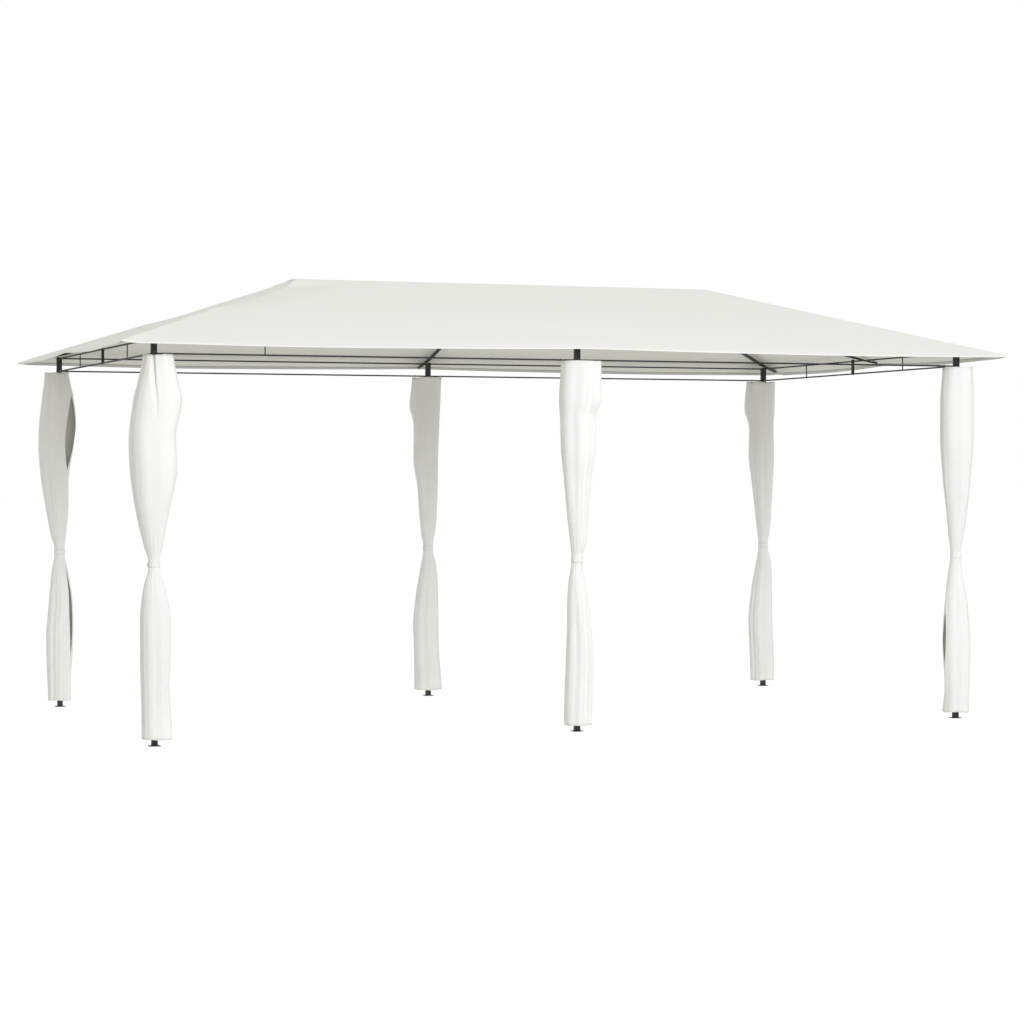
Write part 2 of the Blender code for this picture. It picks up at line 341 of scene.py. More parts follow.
class FrameSettings(PropertyGroup):
    """Finish and fittings of the steel frame."""

    coat: FloatVectorProperty(
        name="Coat colour", description="Colour of the powder coat on the steel",
        default=(0.020, 0.020, 0.022), min=0.0, max=1.0, size=3, subtype="COLOR",
    )
    tube_corner: FloatProperty(
        name="Tube corner", description="Radius of the rounded corners of a post's tube",
        default=0.003, min=0.0005, max=0.008, unit="LENGTH",
    )
    tip: FloatProperty(
        name="Rafter tip", description="Height of a rafter's pinched end",
        default=0.011, min=0.004, max=0.019, unit="LENGTH",
    )
    hip_cut: FloatProperty(
        name="Hip rafter cut",
        description="How far a hip rafter's end stays back from the corner of the cloth",
        default=0.045, min=0.0, max=0.1, unit="LENGTH",
    )
    plate_corner: FloatProperty(
        name="Plate corner", description="Radius of a base plate's corners",
        default=0.007, min=0.001, max=0.02, unit="LENGTH",
    )
    bead: FloatProperty(
        name="Weld bead", description="Width and height of the weld where a post meets its plate",
        default=0.004, min=0.001, max=0.01, unit="LENGTH",
    )
    bolt: FloatProperty(
        name="Bolt head", description="Radius of a rail bolt's dome head",
        default=0.0045, min=0.002, max=0.01, unit="LENGTH",
    )


class StageSettings(PropertyGroup):
    """Floor, surroundings and lamps."""

    surround: FloatVectorProperty(
        name="Surround light", description="Even light from the sky and the floor",
        default=(0.668, 0.668, 0.632), min=0.0, max=5.0, size=3, subtype="COLOR",
    )
    softbox: FloatProperty(
        name="Soft box", description="Power of the large lamp in front, above eye level",
        default=585.0, min=0.0, max=5000.0, unit="POWER",
    )
    top: FloatProperty(
        name="Top light", description="Strength of the broad light from above",
        default=0.05, min=0.0, max=10.0,
    )
    fill: FloatProperty(
        name="Fill light", description="Strength of the low, broad light from the front",
        default=0.50, min=0.0, max=10.0,
    )
    tint: FloatVectorProperty(
        name="Lamp colour", description="Colour of the lamps",
        default=(0.92, 0.92, 1.0), min=0.0, max=1.0, size=3, subtype="COLOR",
    )
    floor_half: FloatProperty(
        name="Floor reach", description="Half the width of the floor",
        default=150.0, min=10.0, max=1000.0, unit="LENGTH",
    )


class Recipe:
    """Nodes of a material or a world, whose inputs take values or other nodes' outputs."""

    def __init__(self, owner):
        owner.use_nodes = True
        self.owner = owner
        self.tree = owner.node_tree
        self.shader = self.tree.nodes.get("Principled BSDF")

    def feed(self, node, inputs):
        for name, value in inputs.items():
            if isinstance(value, bpy.types.NodeSocket):
                self.tree.links.new(value, node.inputs[name])
            else:
                node.inputs[name].default_value = value
        return node

    def add(self, kind, inputs, **settings):
        node = self.tree.nodes.new(kind)
        for name, value in settings.items():
            setattr(node, name, value)
        return self.feed(node, inputs)

    def math(self, operation, *values):
        return self.add("ShaderNodeMath", dict(enumerate(values)), operation=operation).outputs[0]

    def spot(self):
        """Where a point lies on its own piece."""
        return self.add("ShaderNodeTexCoord", {}).outputs["Object"]

    def noise(self, where, scale, detail=2.0):
        inputs = {"Vector": where, "Scale": scale, "Detail": detail}
        return self.add("ShaderNodeTexNoise", inputs).outputs["Fac"]

    def between(self, value, low, high):
        """Map a factor onto a range."""
        inputs = {"Value": value, "To Min": low, "To Max": high}
        return self.add("ShaderNodeMapRange", inputs).outputs[0]

    def blend(self, factor, first, second):
        """Blend two colours."""
        inputs = {0: factor, 6: first, 7: second}
        return self.add("ShaderNodeMix", inputs, data_type="RGBA").outputs[2]

    def bump(self, height, distance, strength):
        inputs = {"Height": height, "Distance": distance, "Strength": strength}
        self.feed(self.shader, {"Normal": self.add("ShaderNodeBump", inputs).outputs[0]})

    def split_rays(self, output, seen, lit):
        """Show the camera one shader, and let another one light the scene."""
        ray = self.add("ShaderNodeLightPath", {}).outputs["Is Camera Ray"]
        mixed = self.add("ShaderNodeMixShader", {0: ray, 1: lit.outputs[0], 2: seen.outputs[0]})
        self.feed(self.tree.nodes[output], {"Surface": mixed.outputs[0]})


def rgba(colour, brightness=1.0):
    """A colour socket's value, brightened or darkened."""
    return (*(min(part * brightness, 1.0) for part in colour), 1.0)


THREAD_PITCH = 0.0011
STITCH_PITCH = 0.0042
STITCH_SHARE = 0.68
STITCH_HALF = 0.0006
STITCH_SHADE = 0.84
# Painted shade on the folded hem flap seen from under the roof: its colour is darkened to stand in for
# the light that the doubled hem holds back
HEM_FLAP_PAINTED_SHADE = 0.70


def stitch_mask(recipe, distance, along, places):
    """Where rows of lock stitch run at the given distances from an edge."""
    step = recipe.math("FRACT", recipe.math("DIVIDE", along, STITCH_PITCH))
    dash = recipe.math("LESS_THAN", step, STITCH_SHARE)
    total = 0.0
    for place in places:
        off = recipe.math("ABSOLUTE", recipe.math("SUBTRACT", distance, place))
        total = recipe.math("ADD", total, recipe.math("LESS_THAN", off, STITCH_HALF))
    return recipe.math("MULTIPLY", total, dash)


def woven(name, colour, seams, roughness=0.82, sheen=0.12, through=0.0):
    """Plain-woven polyester: threads, slubs, faint soft creases and rows of stitching.

    seams lists (channel of the seam attribute, UV channel along it, distances) and
    through is the share of light that sinks into the cloth and passes it."""
    recipe = Recipe(bpy.data.materials.new(name))
    uv = recipe.add("ShaderNodeUVMap", {}, uv_map="cloth").outputs[0]
    threads = recipe.add("ShaderNodeSeparateXYZ", {"Vector": uv}).outputs
    place = recipe.spot()
    turn = math.pi / THREAD_PITCH
    warp = recipe.math("SINE", recipe.math("MULTIPLY", threads[0], turn))
    weft = recipe.math("SINE", recipe.math("MULTIPLY", threads[1], turn))
    cross = recipe.math("MULTIPLY", warp, weft)
    slubs = recipe.add("ShaderNodeMapping", {"Vector": uv, "Scale": (900.0, 45.0, 1.0)}).outputs[0]
    slub = recipe.noise(slubs, 1.0, 1.0)
    cloud = recipe.noise(place, 1.6, 3.0)
    soft = recipe.noise(place, 14.0, 3.0)
    shade = recipe.math("ADD", recipe.between(cloud, 0.42, 0.58), recipe.between(slub, -0.10, 0.10))
    tone = recipe.blend(shade, rgba(colour, 0.985), rgba(colour, 1.015))
    relief = recipe.math("ADD", recipe.math("MULTIPLY", cross, 0.12), recipe.math("MULTIPLY", soft, 1.6))
    attribute = recipe.add("ShaderNodeAttribute", {}, attribute_name="seam").outputs["Vector"]
    distances = recipe.add("ShaderNodeSeparateXYZ", {"Vector": attribute}).outputs
    # Painted shade: the outer cloth on the folded hem flap takes a darker colour in place of the shade
    # there
    if name == "roof_cloth":
        tone = recipe.blend(distances[2], tone, rgba(colour, HEM_FLAP_PAINTED_SHADE))
    for channel, along, places in seams:
        mask = stitch_mask(recipe, distances[channel], threads[along], places)
        tone = recipe.blend(mask, tone, rgba(colour, STITCH_SHADE))
        relief = recipe.math("SUBTRACT", relief, recipe.math("MULTIPLY", mask, 0.5))
    finish = {
        "Base Color": tone,
        "Roughness": recipe.between(slub, roughness - 0.05, roughness + 0.05),
        "Sheen Weight": sheen,
        "Sheen Roughness": 0.4,
        "Specular IOR Level": 0.25,
        "Subsurface Weight": through,
        "Subsurface Radius": (0.0030, 0.0030, 0.0026),
        "Subsurface Scale": 1.0,
    }
    recipe.feed(recipe.shader, finish)
    recipe.bump(relief, 0.0012, 0.20)
    return recipe.owner


def powder_coat(name, colour):
    """Black powder coat with its fine orange-peel skin."""
    recipe = Recipe(bpy.data.materials.new(name))
    place = recipe.spot()
    peel = recipe.noise(place, 700.0)
    cloud = recipe.noise(place, 9.0, 3.0)
    tone = recipe.blend(cloud, rgba(colour, 0.85), rgba(colour, 1.25))
    rough = recipe.between(cloud, 0.40, 0.56)
    recipe.feed(recipe.shader, {"Base Color": tone, "Roughness": rough, "Specular IOR Level": 0.45})
    recipe.bump(peel, 0.0003, 0.35)
    return recipe.owner


def moulded(name, colour):
    """Moulded plastic, slightly mottled."""
    recipe = Recipe(bpy.data.materials.new(name))
    mottle = recipe.noise(recipe.spot(), 160.0)
    tone = recipe.blend(mottle, rgba(colour, 0.92), rgba(colour, 1.06))
    recipe.feed(recipe.shader, {"Base Color": tone, "Roughness": recipe.between(mottle, 0.35, 0.50)})
    recipe.bump(mottle, 0.0003, 0.2)
    return recipe.owner


def deselect_all():
    """Leave nothing selected, in object mode."""
    if bpy.context.object and bpy.context.object.mode != "OBJECT":
        bpy.ops.object.mode_set(mode="OBJECT")
    bpy.ops.object.select_all(action="DESELECT")


def make_active(piece):
    """Select one piece and make it the active one."""
    deselect_all()
    piece.select_set(True)
    bpy.context.view_layer.objects.active = piece


def apply_modifiers(piece):
    """Apply a piece's modifiers in turn."""
    make_active(piece)
    for modifier in list(piece.modifiers):
        bpy.ops.object.modifier_apply(modifier=modifier.name)


def settle(piece, name, materials):
    """Name a modelled piece, put its place into its mesh and give it its materials."""
    make_active(piece)
    bpy.ops.object.transform_apply(location=True, rotation=True, scale=True)
    piece.name = name
    piece.data.name = name
    piece.data.materials.clear()
    for material in materials:
        piece.data.materials.append(material)
    deselect_all()
    return piece


def start_block(low, high):
    """A block between two corners, in edit mode."""
    deselect_all()
    bpy.ops.mesh.primitive_cube_add(size=1.0, location=(low + high) / 2)
    block = bpy.context.object
    block.scale = high - low
    bpy.ops.object.transform_apply(location=True, rotation=False, scale=True)
    bpy.ops.object.mode_set(mode="EDIT")
    return block


def extrude(*move):
    """Extrude what is selected by a move."""
    bpy.ops.mesh.extrude_region_move(TRANSFORM_OT_translate={"value": move})


def finish_edit(degrees):
    """Leave edit mode and shade smooth over edges flatter than an angle."""
    bpy.ops.object.mode_set(mode="OBJECT")
    bpy.ops.object.shade_smooth_by_angle(angle=math.radians(degrees))


def copy_of(model):
    """A copy of a modelled piece, with its own mesh."""
    piece = model.copy()
    piece.data = model.data.copy()
    bpy.context.scene.collection.objects.link(piece)
    return piece


def join(pieces):
    """Join pieces into the first one."""
    deselect_all()
    for piece in pieces:
        piece.select_set(True)
    bpy.context.view_layer.objects.active = pieces[0]
    bpy.ops.object.join()
    return pieces[0]


def pick(kind, wanted):
    """In edit mode, select only the faces, edges or corners that are wanted."""
    bpy.ops.mesh.select_mode(type=kind)
    bpy.ops.mesh.select_all(action="DESELECT")
    mesh = bpy.context.object.data
    shape = bmesh.from_edit_mesh(mesh)
    parts = {"FACE": shape.faces, "EDGE": shape.edges, "VERT": shape.verts}[kind]
    for part in parts:
        if wanted(part):
            part.select_set(True)
    bmesh.update_edit_mesh(mesh)


def is_upright(edge):
    """Whether an edge runs straight up."""
    along = edge.verts[1].co - edge.verts[0].co
    return abs(along.normalized().z) > 0.99


def cloth_object(name, points, quads, uvs, seams, materials):
    """A sheet of cloth from its points, with its thread map and its distances to seams."""
    mesh = bpy.data.meshes.new(name)
    mesh.from_pydata(points, [], quads)
    mesh.polygons.foreach_set("use_smooth", [True] * len(quads))
    layer = mesh.uv_layers.new(name="cloth")
    layer.data.foreach_set("uv", [part for corner in uvs for part in corner])
    attribute = mesh.attributes.new("seam", "FLOAT_VECTOR", "POINT")
    attribute.data.foreach_set("vector", [part for seam in seams for part in seam])
    for material in materials:
        mesh.materials.append(material)
    piece = bpy.data.objects.new(name, mesh)
    bpy.context.scene.collection.objects.link(piece)
    return piece


def thicken(piece, thickness, inner_material=0):
    """Give a sheet its thickness on its inner side."""
    wall = piece.modifiers.new("thickness", "SOLIDIFY")
    wall.thickness = thickness
    wall.offset = -1.0
    wall.material_offset = inner_material
    apply_modifiers(piece)
    deselect_all()


def smooth_step(value, low, high):
    """0 below low, 1 above high and a smooth rise between them."""
    part = min(max((value - low) / (high - low), 0.0), 1.0)
    return part * part * (3 - 2 * part)


def bell(value, centre, width):
    """A bell curve that is 1 at its centre."""
    return math.exp(-(((value - centre) / width) ** 2))


# Cloth roof


def eave_shape(share, from_hip, deepest):
    """The hem's sag from a middle rafter (0) to a corner (1), with its deepest place."""
    rise = 1 - (1 - min(share / deepest, 1.0)) ** 1.4 - 0.18 * bell(share, 0, 0.13)
    rise *= 1 - 0.5 * smooth_step(share, deepest, 1.0)
    return rise * (1 - bell(from_hip, 0, 0.05))


def roof_height(x, y, roof):
    """Height of the cloth's outer face over a point of the plan."""
    from_end = ROOF_X - abs(x)
    from_side = ROOF_Y - abs(y)
    depth = min(from_end, from_side)
    if depth >= RUN:
        in_y = (from_side - RUN) / CREST_Y
        in_x = (from_end - RUN) / CREST_ROLL
        return CREST_EDGE_Z + (CREST_TOP_Z - CREST_EDGE_Z) * min(in_y, in_x, 1.0)
    up = depth / RUN
    from_hip = abs(from_end - from_side)
    if from_side <= from_end:
        share, side = abs(x) / (ROOF_X - depth), x
        eave_sag, slope_sag, deepest = roof.eave_sag, roof.slope_sag, DEEPEST_SIDE
    else:
        share, side = abs(y) / (ROOF_Y - depth), y
        eave_sag, slope_sag, deepest = roof.end_sag, roof.slope_sag * END_SLOPE_SHARE, DEEPEST_END
    eave_sag *= 1 - math.copysign(roof.uneven, side)
    height = EAVE_Z + RISE * up
    slack = smooth_step(up, *SAG_BEGINS) * (1 - smooth_step(up, *SAG_ENDS)) if x < 0 else 0.0
    height -= roof.hip_sag * slack * max(1 - from_hip / HIP_REACH, 0.0) ** 2
    height -= eave_sag * eave_shape(share, from_hip, deepest) * (1 - up) ** 3
    height -= slope_sag * 4 * share * (1 - share) * math.sin(math.pi * up)
    height += roof.droop * (1 - math.exp(-depth / DROOP_START)) * math.exp(-depth / DROOP_REACH)
    loose = min(1.0, 8 * up, 8 * (1 - up)) * (1 - bell(from_hip, 0, HIP_CLING))
    for size, per_x, per_y, level in RIPPLES:
        height += size * loose * noise.noise(Vector((x * per_x, y * per_y, level)))
    bearing = math.atan2(from_side, from_end)
    reach = math.hypot(from_side, from_end)
    turn = PUCKERS * bearing + (1 if x > 0 else -1)
    return height + PUCKER_DEPTH * loose * math.sin(turn) * bell(reach, *PUCKER_BELT)


# Steps beside a hip, how far the folded hem hangs below the cloth and the doubled hem
# stands above it, the rows up a slope, and how far a hip lies per metre along the eave
HIP_STEPS = (0.0, 0.005, 0.010, 0.018)
HEM_FOLD = 0.0034
HEM_DOUBLE = 0.0008
ROWS_UP = 44
HIP_SLANT = 0.725


def side_steps(half, count):
    """Places along one side of a ring, closer together beside the hips."""
    start = [-half + step for step in HIP_STEPS]
    inner = -start[-1]
    middle = [-inner + 2 * inner * i / count for i in range(1, count)]
    return start + middle + [-place for place in reversed(start)]


def roof_rows(roof):
    """Rows of the cloth from the hem's folded edge to the crest: (distance in, lift)."""
    flap = [(roof.hem * part, -HEM_FOLD) for part in (1.0, 0.7, 0.4, 0.15)]
    turn = []
    for i in range(1, 6):
        angle = math.pi * i / 6
        turn.append((HEM_FOLD / 2 * (1 - math.sin(angle)), -HEM_FOLD / 2 * (1 + math.cos(angle))))
    top = [(roof.hem * part, HEM_DOUBLE) for part in (0.1, 0.25, 0.45, 0.65, 0.85, 1.0)]
    top.append((roof.hem + 0.003, 0.0))
    start = roof.hem + 0.012
    shares = [i / ROWS_UP - 0.085 * math.sin(math.tau * i / ROWS_UP) for i in range(ROWS_UP + 1)]
    slope = [(start + (RUN - start) * share, 0.0) for share in shares]
    return flap + turn + top + slope


FLAP_ROWS = 6
LONG_COUNT = 110
SHORT_COUNT = 52


def roof_mesh(roof):
    """Points, faces, thread map and seam distances of the roof's cloth."""
    points, seams, rings = [], [], []
    rows = roof_rows(roof)
    for row, (depth, lift) in enumerate(rows):
        # The flap mark goes into the seam attribute's third channel, where the outer cloth reads it to
        # paint the hem flap's shade
        flap = 1.0 if row < FLAP_ROWS else 0.0
        xs = side_steps(ROOF_X - depth, LONG_COUNT)
        ys = side_steps(ROOF_Y - depth, SHORT_COUNT)
        half_x, half_y = xs[-1], ys[-1]
        ring = [(x, -half_y, half_x - abs(x)) for x in xs[:-1]]
        ring += [(half_x, y, half_y - abs(y)) for y in ys[:-1]]
        ring += [(x, half_y, half_x - abs(x)) for x in reversed(xs[1:])]
        ring += [(-half_x, y, half_y - abs(y)) for y in reversed(ys[1:])]
        rings.append(range(len(points), len(points) + len(ring)))
        for x, y, from_hip in ring:
            points.append((x, y, roof_height(x, y, roof) + lift))
            seams.append((depth * SLOPE_LENGTH / RUN, from_hip * HIP_SLANT, flap))
    quads, uvs = [], []
    around = len(rings[0])
    long_side = len(side_steps(ROOF_X, LONG_COUNT)) - 1
    short_side = len(side_steps(ROOF_Y, SHORT_COUNT)) - 1
    for row, (outer, inner) in enumerate(zip(rings, rings[1:])):
        low, high = rows[row][0] * SLOPE_LENGTH / RUN, rows[row + 1][0] * SLOPE_LENGTH / RUN
        for i in range(around):
            j = (i + 1) % around
            quad = (outer[i], outer[j], inner[j], inner[i])
            quads.append(quad)
            along = 0 if i % (long_side + short_side) < long_side else 1
            levels = (low, low, high, high)
            uvs += [(points[corner][along], level) for corner, level in zip(quad, levels)]
    crest = crest_grid(rings[-1], long_side, short_side, points, seams, roof)
    for i in range(short_side):
        for j in range(long_side):
            quad = (crest[i][j], crest[i][j + 1], crest[i + 1][j + 1], crest[i + 1][j])
            quads.append(quad)
            uvs += [(points[c][0], SLOPE_LENGTH + CREST_Y + points[c][1]) for c in quad]
    return points, quads, uvs, seams


def crest_grid(ring, long_side, short_side, points, seams, roof):
    """Index grid of the crest, inside the last ring, with its new points added."""
    front = list(ring[: long_side + 1])
    right = list(ring[long_side : long_side + short_side + 1])
    back = list(ring[long_side + short_side : 2 * long_side + short_side + 1])[::-1]
    left = [ring[0], *list(ring[2 * long_side + short_side :])[::-1]]
    grid = [front]
    for i in range(1, short_side):
        row = [left[i]]
        for j in range(1, long_side):
            x, y = points[front[j]][0], points[right[i]][1]
            row.append(len(points))
            points.append((x, y, roof_height(x, y, roof)))
            seams.append((SLOPE_LENGTH, 0.2, 0.0))
        grid.append([*row, right[i]])
    grid.append(back)
    return grid


# Curtains


def reaches_at(outline, height):
    """Reach to the left and to the right at a height, on a smooth curve."""
    waist = [(WAIST_Z + step, WAIST_RADIUS, WAIST_RADIUS) for step in (0.016, -0.016)]
    rows = sorted([*outline, *waist])
    heights = [row[0] for row in rows]
    height = min(max(height, heights[0]), heights[-1])
    k = max(i for i in range(len(rows) - 1) if heights[i] <= height)
    step = heights[k + 1] - heights[k]
    t = (height - heights[k]) / step
    reaches = []
    for side in (1, 2):
        def slope(i):
            if i == 0 or i == len(rows) - 1:
                return 0.0
            before = (rows[i][side] - rows[i - 1][side]) / (heights[i] - heights[i - 1])
            after = (rows[i + 1][side] - rows[i][side]) / (heights[i + 1] - heights[i])
            if before * after <= 0:
                return 0.0
            return 2 * before * after / (before + after)
        first, second = rows[k][side], rows[k + 1][side]
        a, b = slope(k) * step, slope(k + 1) * step
        reaches.append(
            first * (1 + 2 * t) * (1 - t) ** 2
            + a * t * (1 - t) ** 2
            + second * t * t * (3 - 2 * t)
            - b * t * t * (1 - t)
        )
    return reaches


def ridged(angle):
    """Depth of a row of pleats, round on their ridges and sharp in their valleys."""
    return 1.0 - math.sqrt(math.cos(angle / 2) ** 2 + 0.015)


BROAD_FOLDS = 5
FINE_FOLDS = 11
DENT_DEPTH = 0.006


def fold_depth(angle, height, curtain, looks):
    """How far the cloth lies inside its outline, by its gathers, folds and pleats."""
    seed = curtain.seed * 1.7
    bearing = angle + 0.20 * math.sin(angle + seed) + 0.10 * math.sin(2 * angle + 2 * seed)
    off = abs(height - WAIST_Z)
    near = (1 + 0.5 * bell(off, 0.12, 0.08)) * bell(off, 0, 0.24)
    depth = looks.gather_depth * near * ridged(looks.gathers * bearing)
    away = smooth_step(off, 0.05, 0.45)
    low = height < WAIST_Z
    depth += looks.fold_depth * away * 0.8 * ridged(BROAD_FOLDS * bearing + seed)
    fine = looks.fold_depth * (0.30 if low else 0.25)
    depth += fine * away * ridged(FINE_FOLDS * bearing + 2 * seed)
    wave = Vector((math.cos(angle), math.sin(angle), height * 1.8 + 3 * curtain.seed))
    depth += DENT_DEPTH * away * noise.noise(wave * 1.3)
    for lower_end, lean, width, pleat_depth, top, bottom in curtain.pleats:
        bearing_at = lower_end + lean * (height - bottom)
        gap = math.remainder(angle - math.radians(bearing_at), math.tau)
        share = smooth_step(height, bottom, top)
        if share > 0:
            wide = math.radians(width) * (0.35 + 0.65 * share) * (0.6 if gap > 0 else 2.0)
            depth += pleat_depth * share**0.7 * bell(gap, 0, wide)
    return depth


OVERLAP = math.radians(60)
DEEPEST_TUCK = math.radians(200)
LAYER_GAP = 0.0022
LAYER_SPREAD = 0.010

# How far a curtain's ends swing, its foot is lifted, its head rises above the rail's
# underside, more so beside the post, and its outer edge stands off
HEM_SWING = 0.004
FOOT_LIFT = 0.007
HEAD_RISE = 0.005
HEAD_ARCH = 0.004
EDGE_LIFT = 0.003


def lap_at(curtain, height):
    """Angle by which the two edges overlap, or stand apart where it is negative."""
    lap = OVERLAP
    for centre, half, degrees in curtain.gapes:
        gap = math.radians(degrees)
        width = half / math.sqrt(1 - math.sqrt(OVERLAP / (OVERLAP + gap)))
        lap -= (lap + gap) * max(1 - ((height - centre) / width) ** 2, 0.0) ** 2
    return lap


# One level of a curtain: its middle on the ground, the view's right and away directions,
# its half width and half depth, how full it is (0 at the waist, 1 at the widest), the
# angle that sets its outer edge and the angle that its whole width goes round
Level = namedtuple("Level", "up height middle across away half deep full lap wrap")


def curtain_level(place, up, looks):
    """Work out one level of a curtain, from its foot (0) to its top (1)."""
    curtain = CURTAINS[place]
    post = POST_CENTRES[place]
    away = Vector((post.x - CAMERA_SPOT.x, post.y - CAMERA_SPOT.y, 0)).normalized()
    across = Vector((away.y, -away.x, 0))
    height = CURTAIN_BOTTOM + up * (CURTAIN_TOP - CURTAIN_BOTTOM)
    left, right = reaches_at(curtain.outline, height)
    half = (left + right) / 2
    full = min(max((half - WAIST_RADIUS) / (WIDEST - WAIST_RADIUS), 0.0), 1.0)
    deep = half * (1 - DEPTH_LOSS * full)
    middle = Vector((post.x, post.y, 0)) + across * ((right - left) / 2)
    middle += away * (PLACES[place][1] * OUTWARD_SHIFT * full)
    lap = lap_at(curtain, height)
    spare = min(looks.cloth_width / ((half + deep) / 2) - math.tau, DEEPEST_TUCK)
    wrap = math.tau + lap + smooth_step(lap, 0.0, OVERLAP / 2) * (spare - lap)
    return Level(up, height, middle, across, away, half, deep, full, lap, wrap)


def curtain_point(place, at, share, looks):
    """A point of a curtain at one level, by its share of the cloth's width."""
    curtain = CURTAINS[place]
    along = share * at.wrap
    angle = math.radians(curtain.opening) + curtain.turn * (along - at.lap / 2)
    swing = HEM_SWING * math.sin(3 * angle + curtain.seed)
    bottom = CURTAIN_BOTTOM + FOOT_LIFT + 0.5 * swing
    x, y = at.half * math.cos(angle), at.deep * math.sin(angle)
    radius = math.hypot(x, y)
    under = smooth_step(along, math.tau - 1.0, math.tau - 0.1)
    inside = fold_depth(angle, at.height, curtain, looks)
    inside += under * (LAYER_GAP + LAYER_SPREAD * at.full)
    lift = (1 - smooth_step(along, 0.0, 0.35)) * EDGE_LIFT * at.full
    scale = max(radius - inside + lift, INNERMOST) / radius
    spot = at.middle + at.across * (x * scale) + at.away * (y * scale)
    post = POST_CENTRES[place]
    aside = abs(spot.y - post.y)
    if PLACES[place][0]:
        aside = min(aside, abs(spot.x - post.x))
    arch = HEAD_ARCH * smooth_step(aside, 0.015, 0.045)
    top = CURTAIN_TOP + HEAD_RISE + arch - 0.3 * swing
    return Vector((spot.x, spot.y, bottom + at.up * (top - bottom)))


CURTAIN_COLUMNS = 200
CURTAIN_ROWS = 112


def curtain_mesh(place, looks):
    """Points, faces, thread map and seam distances of one curtain."""
    length = CURTAIN_TOP - CURTAIN_BOTTOM
    points, seams = [], []
    for i in range(CURTAIN_ROWS + 1):
        at = curtain_level(place, i / CURTAIN_ROWS, looks)
        for j in range(CURTAIN_COLUMNS + 1):
            share = j / CURTAIN_COLUMNS
            points.append(curtain_point(place, at, share, looks))
            edge = min(share, 1 - share) * looks.cloth_width
            seams.append((at.up * length, edge, (1 - at.up) * length))
    quads, uvs = [], []
    across = CURTAIN_COLUMNS + 1
    for i in range(CURTAIN_ROWS):
        for j in range(CURTAIN_COLUMNS):
            corners = [(i, j), (i, j + 1), (i + 1, j + 1), (i + 1, j)]
            if CURTAINS[place].turn < 0:
                corners.reverse()
            quads.append([row * across + column for row, column in corners])
            for row, column in corners:
                uvs.append((column / CURTAIN_COLUMNS * looks.cloth_width, row / CURTAIN_ROWS * length))
    return points, quads, uvs, seams


def ring_spots(place, looks):
    """Where a curtain's top edge passes under a rail: the spot and the rail's direction."""
    column, row = PLACES[place]
    post = POST_CENTRES[place]
    if column:
        rails = [Vector((-column, 0, 0)), Vector((0, -row, 0))]
    else:
        rails = [Vector((-1, 0, 0)), Vector((1, 0, 0))]
    top = curtain_level(place, 1.0, looks)
    edge = [curtain_point(place, top, j / CURTAIN_COLUMNS, looks) for j in range(CURTAIN_COLUMNS + 1)]
    spots = []
    for rail in rails:
        aside = rail.cross(Vector((0, 0, 1)))
        for first, second in zip(edge, edge[1:]):
            before, after = (first - post).dot(aside), (second - post).dot(aside)
            if before * after <= 0 and before != after and (first - post).dot(rail) > 0:
                spots.append((first.lerp(second, before / (before - after)), rail))
                break
    return spots


